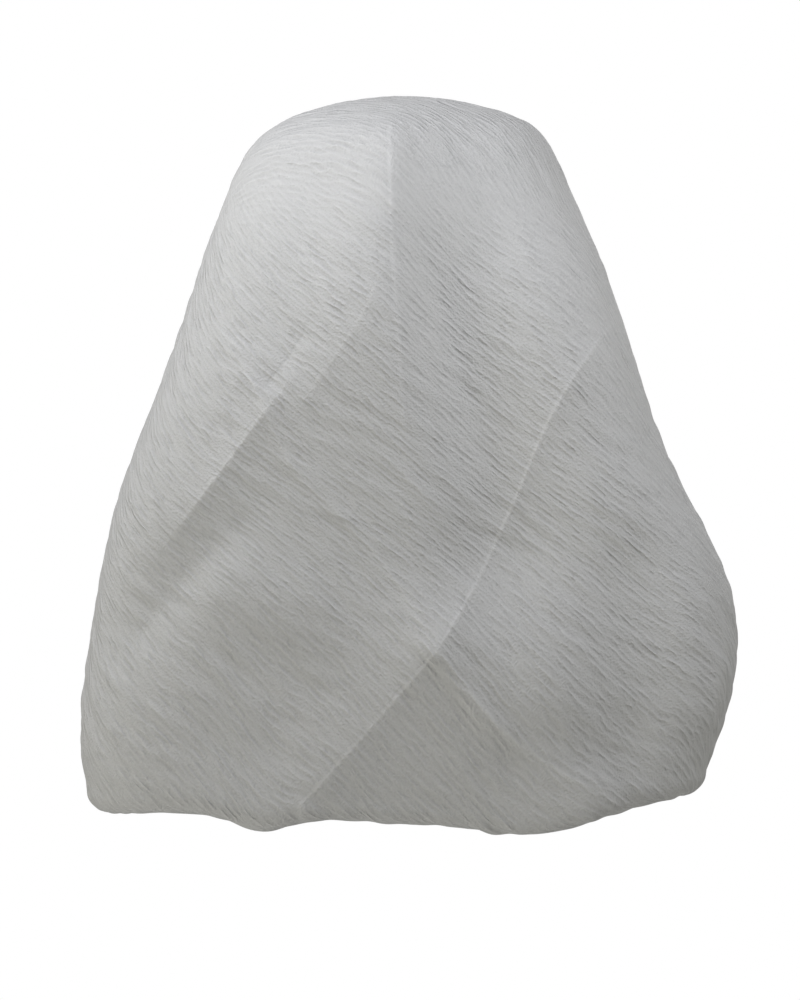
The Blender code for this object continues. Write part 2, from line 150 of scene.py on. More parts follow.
# Folds and pressed creases of the back, seen from behind. rise is outward and, like the widths to the left
# and right of the path, a share of CREASE_SIZE. spread is how many times wider the fold is at its end. crisp
# is 0 for a round fold and 1 for a pressed edge. start and end are the shares of the path over which it fades.
# The path's points are (share of HALF_WIDTH to the right, share of HEIGHT down).
Fold = namedtuple("Fold", "name rise left right spread crisp start end path")
BACK_FOLDS = (
    Fold("crown_ridge", 0.60, 1.2, 3.4, 1.8, 0.6, 0.10, 0.6, (
        (-0.03, 0.01), (-0.03, 0.13), (-0.02, 0.25), (0.00, 0.40), (0.02, 0.60))),
    Fold("crown_ridge_bend", 0.08, 0.6, 0.6, 1.0, 0.9, 0.3, 0.3, (
        (-0.04, 0.20), (-0.09, 0.28), (-0.19, 0.35), (-0.27, 0.40), (-0.36, 0.46))),
    Fold("centre_valley", -1.30, 2.6, 1.5, 1.5, 0.0, 0.35, 0.22, (
        (0.04, 0.06), (0.08, 0.13), (0.13, 0.22), (0.17, 0.31), (0.24, 0.42), (0.31, 0.53), (0.30, 0.61),
        (0.23, 0.68), (0.15, 0.74))),
    Fold("upper_right_crease", 0.16, 0.8, 0.7, 1.0, 0.9, 0.0, 0.2, (
        (0.11, 0.75), (0.21, 0.67), (0.35, 0.54), (0.44, 0.45), (0.56, 0.35), (0.66, 0.29))),
    Fold("upper_right_swell", 0.25, 3.0, 3.0, 1.0, 0.0, 0.3, 0.3, (
        (0.30, 0.62), (0.44, 0.45), (0.52, 0.30), (0.40, 0.12))),
    Fold("lower_left_crease", 0.30, 1.4, 2.0, 1.0, 0.9, 0.0, 0.0, (
        (0.11, 0.75), (0.01, 0.80), (-0.15, 0.88), (-0.25, 0.93), (-0.36, 0.98))),
    Fold("lower_right_crease", 0.42, 1.2, 1.4, 1.0, 0.9, 0.0, 0.2, (
        (0.11, 0.75), (0.22, 0.81), (0.30, 0.85), (0.48, 0.91), (0.70, 0.955))),
    Fold("upper_left_crease", 0.07, 0.6, 0.6, 1.0, 1.0, 0.2, 0.1, (
        (-0.63, 0.30), (-0.52, 0.34), (-0.42, 0.41), (-0.34, 0.49), (-0.15, 0.58), (0.11, 0.75))),
    Fold("left_ridge", 0.26, 0.6, 0.8, 1.0, 0.9, 0.3, 0.4, (
        (-0.30, 0.365), (-0.48, 0.475), (-0.60, 0.545), (-0.76, 0.63))),
    Fold("left_valley", -0.40, 1.0, 1.1, 1.2, 0.3, 0.45, 0.25, (
        (-0.34, 0.48), (-0.44, 0.555), (-0.59, 0.62), (-0.76, 0.70), (-0.93, 0.79))),
    Fold("left_line", -0.12, 0.5, 0.6, 1.0, 0.8, 0.4, 0.1, (
        (-0.24, 0.27), (-0.31, 0.33), (-0.42, 0.40))),
    Fold("left_hollow", -0.35, 1.5, 1.5, 1.0, 0.0, 0.0, 0.0, (
        (-0.26, 0.13), (-0.29, 0.18), (-0.34, 0.26), (-0.37, 0.31))),
    Fold("right_hollow", -0.66, 2.2, 2.2, 1.0, 0.0, 0.0, 0.0, (
        (0.73, 0.65), (0.72, 0.74), (0.69, 0.83))),
    Fold("right_swell", 0.40, 2.2, 1.8, 1.0, 0.0, 0.0, 0.0, (
        (0.42, 0.68), (0.46, 0.80))),
    Fold("far_right_swell", 0.22, 1.3, 1.3, 1.0, 0.0, 0.0, 0.0, (
        (0.90, 0.60), (0.88, 0.72))),
    Fold("right_corner_fold", 0.30, 0.6, 1.2, 1.0, 0.6, 0.4, 0.4, (
        (0.99, 0.72), (0.94, 0.80), (0.90, 0.89))),
    Fold("low_right_hollow", -0.45, 1.5, 1.5, 1.0, 0.0, 0.0, 0.0, (
        (0.38, 0.895), (0.52, 0.905), (0.66, 0.90))),
    Fold("left_swell", 0.42, 1.8, 1.8, 1.0, 0.0, 0.0, 0.0, (
        (-0.50, 0.66), (-0.41, 0.68), (-0.33, 0.69))),
    Fold("mid_left_hollow", -0.20, 1.6, 1.6, 1.0, 0.0, 0.0, 0.0, (
        (-0.38, 0.77), (-0.30, 0.80))),
    Fold("low_left_hollow", -0.25, 1.4, 1.4, 1.0, 0.0, 0.0, 0.0, (
        (-0.54, 0.87), (-0.46, 0.885), (-0.40, 0.88))),
    Fold("top_right_band", -0.25, 1.2, 1.4, 1.0, 0.0, 0.0, 0.0, (
        (0.20, 0.04), (0.25, 0.10), (0.30, 0.18))),
    Fold("crossing_peak", 0.32, 2.8, 2.8, 1.0, 0.0, 0.0, 0.0, (
        (0.10, 0.75), (0.12, 0.75))),
    Fold("bottom_facet", -0.85, 4.0, 4.0, 1.0, 0.0, 0.0, 0.0, (
        (-0.06, 1.08), (0.12, 1.06), (0.32, 1.08))),
)

# Soft folds of the cheeks, seen from the side. The path's points are (share of BACK_DEPTH forward, drop).
SIDE_FOLDS = (
    Fold("temple_hollow", -0.20, 1.6, 1.6, 1.0, 0.0, 0.3, 0.3, (
        (0.40, 0.34), (0.24, 0.50), (0.14, 0.66), (0.10, 0.86))),
    Fold("cheek_swell", 0.15, 1.6, 1.6, 1.0, 0.0, 0.3, 0.3, (
        (0.20, 0.36), (0.05, 0.52), (-0.05, 0.70))),
)


def smooth_curve(knots, values, at):
    """Values at some places on a natural cubic spline through the knots."""
    knots = np.asarray(knots, float)
    values = np.asarray(values, float)
    step = np.diff(knots)
    slope = np.diff(values) / step
    system = np.eye(len(knots))
    bend = np.zeros(len(knots))
    for i in range(1, len(knots) - 1):
        system[i, i - 1 : i + 2] = step[i - 1], 2 * (step[i - 1] + step[i]), step[i]
        bend[i] = 6 * (slope[i] - slope[i - 1])
    bend = np.linalg.solve(system, bend)
    i = np.clip(np.searchsorted(knots, at) - 1, 0, len(knots) - 2)
    ahead = knots[i + 1] - at
    behind = at - knots[i]
    cubic = (bend[i] * ahead**3 + bend[i + 1] * behind**3) / (6 * step[i])
    near = (values[i] / step[i] - bend[i] * step[i] / 6) * ahead
    far = (values[i + 1] / step[i] - bend[i + 1] * step[i] / 6) * behind
    return cubic + near + far


def ease(low, high, at):
    """0 up to low, 1 from high on, and a smooth rise between them."""
    share = np.clip((at - low) / (high - low), 0, 1)
    return share * share * (3 - 2 * share)


def section_size(column, fall):
    """One column of SECTIONS at some falls. The rows are mirrored past the crown, so that it closes round."""
    knots = [row.fall for row in SECTIONS]
    values = [getattr(row, column) for row in SECTIONS]
    sign = 1 if column in ("drop", "square") else -1
    knots = [-k for k in knots[:0:-1]] + knots
    values = [sign * v for v in values[:0:-1]] + values
    return smooth_curve(knots, values, fall)


def hang_line():
    """Falls down one side to the start of the turned edge, and the length of cloth from the crown to each."""
    fall = np.linspace(0, 1, 200)
    out = section_size("left", fall) * HALF_WIDTH
    down = section_size("drop", fall) * HEIGHT
    return fall, np.concatenate([[0], np.hypot(np.diff(out), np.diff(down)).cumsum()])


ROLL_FALL = EDGE_ROLL_RADIUS * EDGE_ROLL_TURN / hang_line()[1][-1]


def hood(turn, fall):
    """Points of the smooth hood. turn is measured round the head from the back, fall from the crown down."""
    hung = np.minimum(fall, 1)
    left = section_size("left", hung) * HALF_WIDTH
    right = section_size("right", hung) * HALF_WIDTH
    back = section_size("back", hung) * BACK_DEPTH
    front = section_size("front", hung) * BROW_DEPTH
    square = section_size("square", hung) - 2
    square = 2 + square * np.where(np.cos(turn) > 0, 1, BROW_SQUARE)
    half_width = np.maximum((left + right) / 2, 1e-9)
    half_depth = np.maximum((back + front) / 2, 1e-9)
    side = np.abs(np.sin(turn)) / half_width
    depth = np.abs(np.cos(turn)) / half_depth
    reach = (side**square + depth**square) ** (-1 / square)
    roll = np.clip((fall - 1) / ROLL_FALL, 0, 1) * EDGE_ROLL_TURN
    reach = reach - EDGE_ROLL_RADIUS * (1 - np.cos(roll))
    x = (right - left) / 2 + reach * np.sin(turn)
    y = (front - back) / 2 - reach * np.cos(turn)
    down = section_size("drop", hung) * HEIGHT + EDGE_ROLL_RADIUS * np.sin(roll)
    across = [row.across for row in EDGE_LEVELS]
    lowest = smooth_curve(across, [row.drop for row in EDGE_LEVELS], np.clip(x / HALF_WIDTH, -1, 1)) * HEIGHT
    plain = SECTIONS[-1].drop * HEIGHT + EDGE_ROLL_RADIUS
    down = down + (lowest - plain) * ease(0.7, 1.0, hung)
    return np.stack([x, y, CLOTH - down], -1)


def turn_and_fall(u, v):
    """Turn and fall of the cloth's u and v. u goes from left to right, v from the face edge to the hem."""
    share = [row.share for row in FACE_EDGE]
    ahead = [180 - row.turn for row in FACE_EDGE]
    fall = [row.fall for row in FACE_EDGE]
    share = [-k for k in share[:0:-1]] + share
    ahead = [-k for k in ahead[:0:-1]] + ahead
    fall = fall[:0:-1] + fall
    face_turn = math.pi - np.radians(smooth_curve(share, ahead, u))
    face_fall = smooth_curve(share, fall, u)
    hem_turn = u * CORNER_ANGLE
    hem_fall = 1 + ROLL_FALL - CORNER_RISE_SHARE * u**10
    side = (1 - v) * face_fall * np.sin(face_turn) + v * hem_fall * np.sin(hem_turn)
    behind = (1 - v) * face_fall * np.cos(face_turn) + v * hem_fall * np.cos(hem_turn)
    return np.arctan2(side, behind), np.hypot(side, behind)


def place(u, v):
    """Points of the smooth hood at the cloth's u and v."""
    return hood(*turn_and_fall(u, v))


def facing(points_at, u, v):
    """Outward unit normals of a surface given by a function of u and v."""
    step = 1e-4
    along = points_at(u + step, v) - points_at(u - step, v)
    down = points_at(u, v + step) - points_at(u, v - step)
    normal = np.cross(down, along)
    return normal / np.maximum(np.linalg.norm(normal, axis=-1, keepdims=True), 1e-12)


def beside(fold, a, b, size_a, size_b):
    """Where places a, b lie by a fold: how far from its path, which is a smooth curve through its points, on
    which side of it (above 0 on the left), and at what share of its length."""
    points = np.array(fold.path, float) * (size_a, size_b)
    marks = np.concatenate([[0], np.hypot(*np.diff(points, axis=0).T).cumsum()])
    run = np.linspace(0, marks[-1], 2 + int(marks[-1] / PATH_STEP))
    path_a, path_b = (smooth_curve(marks, points[:, k], run) for k in (0, 1))
    apart = (a[..., None] - path_a) ** 2 + (b[..., None] - path_b) ** 2
    weight = np.exp((apart.min(-1, keepdims=True) - apart) / PATH_STEP**2)
    weight = weight / weight.sum(-1, keepdims=True)
    off_a = a - weight @ path_a
    off_b = b - weight @ path_b
    side = off_a * (weight @ np.gradient(path_b, run)) - off_b * (weight @ np.gradient(path_a, run))
    return np.hypot(off_a, off_b), side, weight @ run / marks[-1]


def fade(fold, share):
    """How much of a fold is left at a share of its length."""
    left = np.ones(share.shape)
    if fold.start:
        left = ease(0, fold.start, share)
    if fold.end:
        left = left * ease(0, fold.end, 1 - share)
    return left


def fold_height(fold, a, b, size_a, size_b):
    """Height of one fold at places a, b, in metres."""
    apart, side, share = beside(fold, a, b, size_a, size_b)
    width = CREASE_SIZE * (fold.right + (fold.left - fold.right) * ease(-1, 1, side / SIDE_CHANGE))
    reach = apart / (width * (1 + (fold.spread - 1) * share))
    rounded = np.exp(-(reach**2))
    pressed = np.exp(-(np.hypot(reach, PRESS_ROUND) - PRESS_ROUND) * PRESS_FALL)
    return fold.rise * CREASE_SIZE * fade(fold, share) * (fold.crisp * pressed + (1 - fold.crisp) * rounded)


def relief(points, normals):
    """Height of all folds on the hood's points, in metres."""
    x, y, down = points[..., 0], points[..., 1], -points[..., 2]
    back = sum(fold_height(fold, x, down, HALF_WIDTH, HEIGHT) for fold in BACK_FOLDS)
    cheek = sum(fold_height(fold, y, down, BACK_DEPTH, HEIGHT) for fold in SIDE_FOLDS)
    at_back = ease(*BACK_FACING, -normals[..., 1])
    at_cheek = ease(*CHEEK_FACING, np.abs(normals[..., 0])) * ease(*FORWARD_FACING, normals[..., 1])
    return back * at_back + cheek * at_cheek


def draped(turn, fall):
    """Outer face of the drape at a turn and a fall. The rolled edge goes with the folds just above it."""
    hung = np.minimum(fall, 1)
    normals = facing(hood, turn, hung)
    return hood(turn, fall) + normals * relief(hood(turn, hung), normals)[..., None]


def cloth(u, v):
    """Outer face of the drape at the cloth's u and v."""
    return draped(*turn_and_fall(u, v))


# Lines of the drape's outer grid, across it and down it: an even number of steps each way, because the inner
# face takes every second line
COLUMNS = 301
HEM_LINES = 12
HANG_LINES = 176
ROLL_LINES = 20
INNER_STEP = 2
SMOOTH_ANGLE = math.radians(50)

# The crown's own map takes over from the back's between these falls, and between these turns at the brow
CROWN_FALLS = (0.34, 0.20)
BROW_TURNS = (math.radians(100), math.radians(140))
ARC_STEPS = 32

# Crinkle of the gauze, in mm: rows of sharp ridges that run along a slant (degrees), keep in step over
# patches of a length and a width, and stray from their line by a share of their spacing
Crinkle = namedtuple("Crinkle", "name slant length width spacing stray height")
CRINKLES = (
    Crinkle("steep ridges", -45, 11.0, 6.0, 2.4, 1.1, 0.29),
    Crinkle("shallow ridges", -37, 12.0, 6.0, 3.0, 1.1, 0.33),
    Crinkle("fine ridges", -41, 6.0, 3.0, 1.5, 1.0, 0.12),
)
# Mean fall of a ridge, so that the crinkle is level on average, then the fine grain between the ridges, in mm
RIDGE_MEAN = 0.64
GRAIN_SIZE = 0.8
GRAIN_HEIGHT = 0.27

# Ridges are lower in calm patches: the patch noise from calm to lively, and the share left in a calm one
PATCH_RANGE = (0.36, 0.62)
CALM_SHARE = 0.3

# Painted shade: the gauze's colour is darkened in the crinkle's troughs, where shade would fall. The share of
# the colour left in the troughs, and the heights at which the painted shade is full and at which it is gone,
# as shares of the layers' heights taken together
TROUGH_PAINTED_SHADE = 0.76
PAINTED_SHADE_RANGE = (-0.4, 0.5)

# Sharp lines that pressing left along some folds, as bumps that also paint the colour lighter along a raised
# line and darker along a sunk one: rise and half width in mm, on top of the folds' own shape.
# LINE_END is the share of a line over which it fades in and out.
Pressed = namedtuple("Pressed", "fold rise width")
PRESSED_LINES = (
    Pressed("crown_ridge", 0.24, 1.5),
    Pressed("crown_ridge_bend", 0.12, 1.3),
    Pressed("upper_right_crease", 0.34, 1.3),
    Pressed("lower_left_crease", 0.28, 1.3),
    Pressed("lower_right_crease", 0.32, 1.3),
    Pressed("upper_left_crease", 0.18, 1.1),
    Pressed("left_ridge", 0.28, 1.4),
    Pressed("left_line", -0.14, 1.1),
)
LINE_END = 0.04

# Soft swells across the ridges: how many waves, their lengths in mm, and their slant and how far it strays
SWELLS = 60
SWELL_SEED = 11
SWELL_LENGTHS = (6.0, 16.0)
SWELL_SLANT = math.radians(-38)
SWELL_STRAY = 0.28


def linear(hex_colour):
    """A linear colour from an sRGB hex value."""
    channels = [int(hex_colour[k : k + 2], 16) / 255 for k in (1, 3, 5)]
    return tuple(c / 12.92 if c <= 0.04045 else ((c + 0.055) / 1.055) ** 2.4 for c in channels) + (1.0,)


def cloth_maps(turn, fall):
    """The cloth's own coordinates in metres: one map for the back and sides, one for the crown and brow, and
    the share of the second."""
    falls, lengths = hang_line()
    down = np.interp(fall, falls, lengths) + np.maximum(fall - 1, 0) * lengths[-1]
    across = np.zeros(turn.shape)
    last = hood(turn * 0, fall)
    for k in range(1, ARC_STEPS + 1):
        here = hood(turn * k / ARC_STEPS, fall)
        across += np.linalg.norm(here - last, axis=-1)
        last = here
    back = np.stack([across * np.sign(turn), -down], -1)
    crown = np.stack([fall * np.sin(turn), -fall * np.cos(turn)], -1) * lengths[-1]
    share = np.maximum(ease(*CROWN_FALLS, fall), ease(*BROW_TURNS, np.abs(turn)))
    return back, crown, share


def swells(flat):
    """Soft irregular swells of the gauze along its ridges, about 1 high, at the cloth's own coordinates."""
    random = np.random.default_rng(SWELL_SEED)
    field = np.zeros(flat.shape[:-1])
    for _ in range(SWELLS):
        heading = SWELL_SLANT + math.pi / 2 + random.normal(0, SWELL_STRAY)
        length = random.uniform(*SWELL_LENGTHS) * MM
        along = flat[..., 0] * math.cos(heading) + flat[..., 1] * math.sin(heading)
        field += np.cos(along * math.tau / length + random.uniform(0, math.tau))
    return field / math.sqrt(SWELLS / 2)


def cloth_lines():
    """The fine grid's u and v: lines of the front hem, of the hanging cloth and of the rolled bottom edge."""
    u = np.linspace(-1, 1, COLUMNS)
    step = 1e-3
    stretch = np.linalg.norm(place(u, np.full_like(u, step)) - place(u, np.zeros_like(u)), axis=-1) / step
    hem = FRONT_HEM_WIDTH / stretch
    hang = 1 - ROLL_FALL / (1 + ROLL_FALL + FACE_EDGE[0].fall)
    rows = [hem * k / HEM_LINES for k in range(HEM_LINES)]
    rows += [hem + (hang - hem) * k / HANG_LINES for k in range(HANG_LINES)]
    rows += [np.full_like(u, hang + (1 - hang) * k / ROLL_LINES) for k in range(ROLL_LINES + 1)]
    return np.broadcast_to(u, (len(rows), len(u))), np.array(rows)


def grid_faces(rows, columns, start=0):
    """Quads of a grid of points, outward for a grid laid out as the cloth's."""
    at = start + np.arange(rows * columns).reshape(rows, columns)
    return np.stack([at[:-1, :-1], at[1:, :-1], at[1:, 1:], at[:-1, 1:]], -1).reshape(-1, 4)


def rim_line(grid):
    """Numbers round the rim of a grid of numbers, once round."""
    return list(grid[:-1, 0]) + list(grid[-1, :-1]) + list(grid[:0:-1, -1]) + list(grid[0, :0:-1])


def wall(outer, inner, step=1):
    """Points and faces of a closed wall. The inner face takes every step-th line of the outer one's grid."""
    rows, columns = outer.shape[:2]
    inner = inner[::step, ::step]
    points = np.concatenate([outer.reshape(-1, 3), inner.reshape(-1, 3)])
    first = rows * columns
    front = np.arange(first).reshape(rows, columns)
    back = first + np.arange(inner.shape[0] * inner.shape[1]).reshape(inner.shape[:2])
    faces = grid_faces(rows, columns).tolist() + grid_faces(*inner.shape[:2], first)[:, ::-1].tolist()
    fine, coarse = rim_line(front), rim_line(back)
    for k, now in enumerate(coarse):
        after = coarse[(k + 1) % len(coarse)]
        stretch = [fine[(k * step + j) % len(fine)] for j in range(step, -1, -1)]
        faces.append(stretch + [now, after])
    return points, faces


def new_piece(name, points, faces, maps=None, shares=None):
    """A piece from points and faces, smooth, with UV maps and point attributes given by a value or a row of
    three for each point."""
    mesh = bpy.data.meshes.new(name)
    mesh.from_pydata(np.asarray(points).tolist(), [], faces)
    corners = np.empty(len(mesh.loops), np.int32)
    mesh.loops.foreach_get("vertex_index", corners)
    for label, places in (maps or {}).items():
        layer = mesh.uv_layers.new(name=label)
        layer.uv.foreach_set("vector", np.asarray(places, np.float32)[corners].ravel())
    for label, values in (shares or {}).items():
        kind, field = ("FLOAT", "value") if values.ndim == 1 else ("FLOAT_VECTOR", "vector")
        mesh.attributes.new(label, kind, "POINT").data.foreach_set(field, values.astype(np.float32).ravel())
    mesh.shade_smooth()
    mesh.set_sharp_from_angle(angle=SMOOTH_ANGLE)
    piece = bpy.data.objects.new(name, mesh)
    bpy.context.scene.collection.objects.link(piece)
    return piece


def deselect():
    """Clears the selection, so that an operator acts on the new piece alone."""
    for item in bpy.context.selected_objects:
        item.select_set(False)


def both_faces(values, step=1):
    """Values for the points of a wall, the outer face's first."""
    tail = values.shape[2:]
    return np.concatenate([values.reshape(-1, *tail), values[::step, ::step].reshape(-1, *tail)])


def node(tree, kind, inputs=None, **settings):
    """Adds a node. settings are its properties, inputs a value or an output to link from for each socket."""
    made = tree.nodes.new(kind)
    for name, value in settings.items():
        setattr(made, name, value)
    for socket, value in (inputs or {}).items():
        if isinstance(value, bpy.types.NodeSocket):
            tree.links.new(value, made.inputs[socket])
        else:
            made.inputs[socket].default_value = value
    return made


def new_material(name):
    """An empty node material and its tree, with an output."""
    material = bpy.data.materials.new(name)
    material.use_nodes = True
    tree = material.node_tree
    tree.nodes.clear()
    return material, tree


def crinkle_height(tree, flat):
    """Height in mm of the gauze's crinkle at coordinates in metres along the cloth."""
    grain = node(tree, "ShaderNodeTexNoise", {
        "Vector": flat,
        "Scale": 1 / (GRAIN_SIZE * MM),
        "Detail": 0.0,
    }, noise_dimensions="2D")
    height = node(tree, "ShaderNodeMath", {
        0: grain.outputs[0],
        1: GRAIN_HEIGHT,
        2: -GRAIN_HEIGHT / 2,
    }, operation="MULTIPLY_ADD").outputs[0]
    for layer in CRINKLES:
        laid = node(tree, "ShaderNodeMapping", {
            "Vector": flat,
            "Rotation": (0, 0, math.radians(layer.slant)),
            "Scale": (layer.length * MM, layer.width * MM, 1),
        }, vector_type="TEXTURE", label=layer.name)
        patch = node(tree, "ShaderNodeTexNoise", {
            "Vector": laid.outputs[0],
            "Scale": 1,
            "Detail": 1.0,
        }, noise_dimensions="2D")
        parts = node(tree, "ShaderNodeSeparateColor", {0: patch.outputs[1]})
        across = node(tree, "ShaderNodeSeparateXYZ", {0: laid.outputs[0]})
        ridge = node(tree, "ShaderNodeMath", {
            0: across.outputs[1],
            1: layer.width / layer.spacing,
        }, operation="MULTIPLY")
        strayed = node(tree, "ShaderNodeMath", {
            0: parts.outputs[0],
            1: layer.stray,
            2: ridge.outputs[0],
        }, operation="MULTIPLY_ADD")
        turn = node(tree, "ShaderNodeMath", {0: strayed.outputs[0], 1: math.pi}, operation="MULTIPLY")
        wave = node(tree, "ShaderNodeMath", {0: turn.outputs[0]}, operation="SINE")
        fallen = node(tree, "ShaderNodeMath", {0: wave.outputs[0]}, operation="ABSOLUTE")
        crest = node(tree, "ShaderNodeMath", {0: RIDGE_MEAN, 1: fallen.outputs[0]}, operation="SUBTRACT")
        size = node(tree, "ShaderNodeMapRange", {
            "Value": parts.outputs[1],
            "From Min": PATCH_RANGE[0],
            "From Max": PATCH_RANGE[1],
            "To Min": CALM_SHARE * layer.height,
            "To Max": layer.height,
        })
        height = node(tree, "ShaderNodeMath", {
            0: crest.outputs[0],
            1: size.outputs[0],
            2: height,
        }, operation="MULTIPLY_ADD").outputs[0]
    return height


def pressed_places(turn, fall):
    """For each pressed line, how far in mm the cloth's points are from it, and how much of it is left."""
    hung = np.minimum(fall, 1)
    points = hood(turn, hung)
    at_back = ease(*BACK_FACING, -facing(hood, turn, hung)[..., 1])
    places = {}
    for row in PRESSED_LINES:
        fold = next(fold for fold in BACK_FOLDS if fold.name == row.fold)
        apart, side, share = beside(fold, points[..., 0], -points[..., 2], HALF_WIDTH, HEIGHT)
        left = fade(fold, share) * at_back * ease(0, LINE_END, share) * ease(0, LINE_END, 1 - share)
        places[row.fold] = np.stack([np.sign(side) * apart / MM, left, np.zeros_like(left)], -1)
    return places


def pressed_height(tree, height):
    """Adds the pressed lines to a height in mm."""
    for row in PRESSED_LINES:
        place_of = node(tree, "ShaderNodeAttribute", attribute_name=row.fold)
        parts = node(tree, "ShaderNodeSeparateXYZ", {0: place_of.outputs["Vector"]})
        apart = node(tree, "ShaderNodeMath", {0: parts.outputs[0]}, operation="ABSOLUTE")
        tent = node(tree, "ShaderNodeMath", {
            0: apart.outputs[0],
            1: -row.rise / row.width,
            2: row.rise,
        }, operation="MULTIPLY_ADD")
        kept = node(tree, "ShaderNodeMath", {
            0: tent.outputs[0],
            1: 0.0,
        }, operation="MAXIMUM" if row.rise > 0 else "MINIMUM")
        height = node(tree, "ShaderNodeMath", {
            0: kept.outputs[0],
            1: parts.outputs[1],
            2: height,
        }, operation="MULTIPLY_ADD").outputs[0]
    return height


def gauze(name, colour, mixed):
    """Cotton crinkle gauze, woven loose and shrunk: matt, with slanting ridges that catch the light, and
    painted shade that darkens its colour in the crinkle's troughs. mixed says that the piece has a second map
    for its crown."""
    material, tree = new_material(name)
    back = node(tree, "ShaderNodeUVMap", uv_map="cloth")
    height = crinkle_height(tree, back.outputs[0])
    if mixed:
        crown = node(tree, "ShaderNodeUVMap", uv_map="crown")
        share = node(tree, "ShaderNodeAttribute", attribute_name="crown_share")
        height = node(tree, "ShaderNodeMix", {
            0: share.outputs["Fac"],
            2: height,
            3: crinkle_height(tree, crown.outputs[0]),
        }, data_type="FLOAT").outputs[0]
        # The pressed lines join the height that sets the painted shade below, so besides their bump the raised
        # lines are painted lighter and the sunk one darker
        height = pressed_height(tree, height)
    # Painted shade: the gauze's colour is mixed towards a darker copy of itself in the crinkle's troughs,
    # where shade would fall
    full = sum(layer.height for layer in CRINKLES)
    depth = node(tree, "ShaderNodeMapRange", {
        "Value": height,
        "From Min": full * PAINTED_SHADE_RANGE[0],
        "From Max": full * PAINTED_SHADE_RANGE[1],
        "To Min": 1,
        "To Max": 0,
    })
    crest = linear(colour)
    trough = tuple(c * TROUGH_PAINTED_SHADE for c in crest[:3]) + (1.0,)
    painted_shade = node(tree, "ShaderNodeMix", {
        0: depth.outputs[0],
        6: crest,
        7: trough,
    }, data_type="RGBA")
    bump = node(tree, "ShaderNodeBump", {"Strength": 1.0, "Distance": MM, "Height": height})
    shader = node(tree, "ShaderNodeBsdfPrincipled", {
        "Base Color": painted_shade.outputs[2],
        "Roughness": 0.92,
        "Specular IOR Level": 0.15,
        "Normal": bump.outputs[0],
    })
    node(tree, "ShaderNodeOutputMaterial", {"Surface": shader.outputs[0]})
    return material


# Turns of the thread's twist in its wave pattern
TWIST_SCALE = 900.0


def thread(name, colour):
    """Spun polyester sewing thread: a little glossier than the gauze, with a fine twist."""
    material, tree = new_material(name)
    place_of = node(tree, "ShaderNodeTexCoord")
    twist = node(tree, "ShaderNodeTexWave", {
        "Vector": place_of.outputs["Object"],
        "Scale": TWIST_SCALE,
        "Distortion": 1.0,
    })
    bump = node(tree, "ShaderNodeBump", {"Strength": 0.4, "Distance": 0.05 * MM, "Height": twist.outputs[1]})
    shader = node(tree, "ShaderNodeBsdfPrincipled", {
        "Base Color": linear(colour),
        "Roughness": 0.6,
        "Specular IOR Level": 0.4,
        "Normal": bump.outputs[0],
    })
    node(tree, "ShaderNodeOutputMaterial", {"Surface": shader.outputs[0]})
    return material


class BANDANA_PG_cloth(bpy.types.PropertyGroup):
    """The gauze and its hem."""

    colour: StringProperty(name="Gauze colour", description="sRGB hex colour of the gauze", default="#CDCDCB")
    thickness: FloatProperty(
        name="Thickness", description="Thickness of the shown cloth", default=0.0011, unit="LENGTH"
    )
    swell: FloatProperty(
        name="Swell", description="Height of the soft swells between ridges", default=0.00022, unit="LENGTH"
    )
    hem_stitch: FloatProperty(
        name="Stitch length", description="Length of one stitch of the hem", default=0.0028, unit="LENGTH"
    )
    stitch_gap: FloatProperty(
        name="Stitch gap", description="Gap between two stitches", default=0.0012, unit="LENGTH"
    )
    thread_size: FloatProperty(
        name="Thread", description="Thickness of the thread", default=0.0004, unit="LENGTH"
    )
    thread_colour: StringProperty(name="Thread colour", description="sRGB hex colour", default="#C2C4C3")


class BANDANA_PG_tie(bpy.types.PropertyGroup):
    """The tie round the nape."""

    thickness: FloatProperty(
        name="Thickness", description="Thickness of the tie", default=0.0014, unit="LENGTH"
    )
    pleats: IntProperty(name="Pleats", description="Lengthwise folds of the tie", default=3, min=1)
    pleat_depth: FloatProperty(
        name="Pleat depth", description="Depth of a fold", default=0.0007, unit="LENGTH"
    )
    knot_size: FloatVectorProperty(
        name="Knot",
        description="Width, depth and height of the knot",
        default=(0.026, 0.015, 0.021),
        unit="LENGTH",
    )
    tail_length: FloatProperty(
        name="Tail length", description="Length of one end", default=0.054, unit="LENGTH"
    )
    tail_width: FloatProperty(
        name="Tail width", description="Width of one end", default=0.016, unit="LENGTH"
    )
    tail_lean: FloatProperty(
        name="Tail lean", description="Lean of one end", default=math.radians(14), unit="ROTATION"
    )


class BANDANA_PG_stage(bpy.types.PropertyGroup):
    """Camera, lamps and floor."""

    picture_height: FloatProperty(
        name="Picture height", description="Height that the picture shows", default=0.3794, unit="LENGTH"
    )
    camera_distance: FloatProperty(
        name="Camera distance", description="From the cloth", default=6.0, unit="LENGTH"
    )
    lamp_power: FloatProperty(name="Lamps", description="Scales the power of every lamp", default=0.97)
    sky: FloatProperty(name="Sky", description="Strength of the light from all round", default=0.165)
    floor_size: FloatProperty(name="Floor", description="Side of the floor", default=16.0, unit="LENGTH")
    floor_drop: FloatProperty(
        name="Floor drop", description="Floor below the crown", default=1.0, unit="LENGTH"
    )


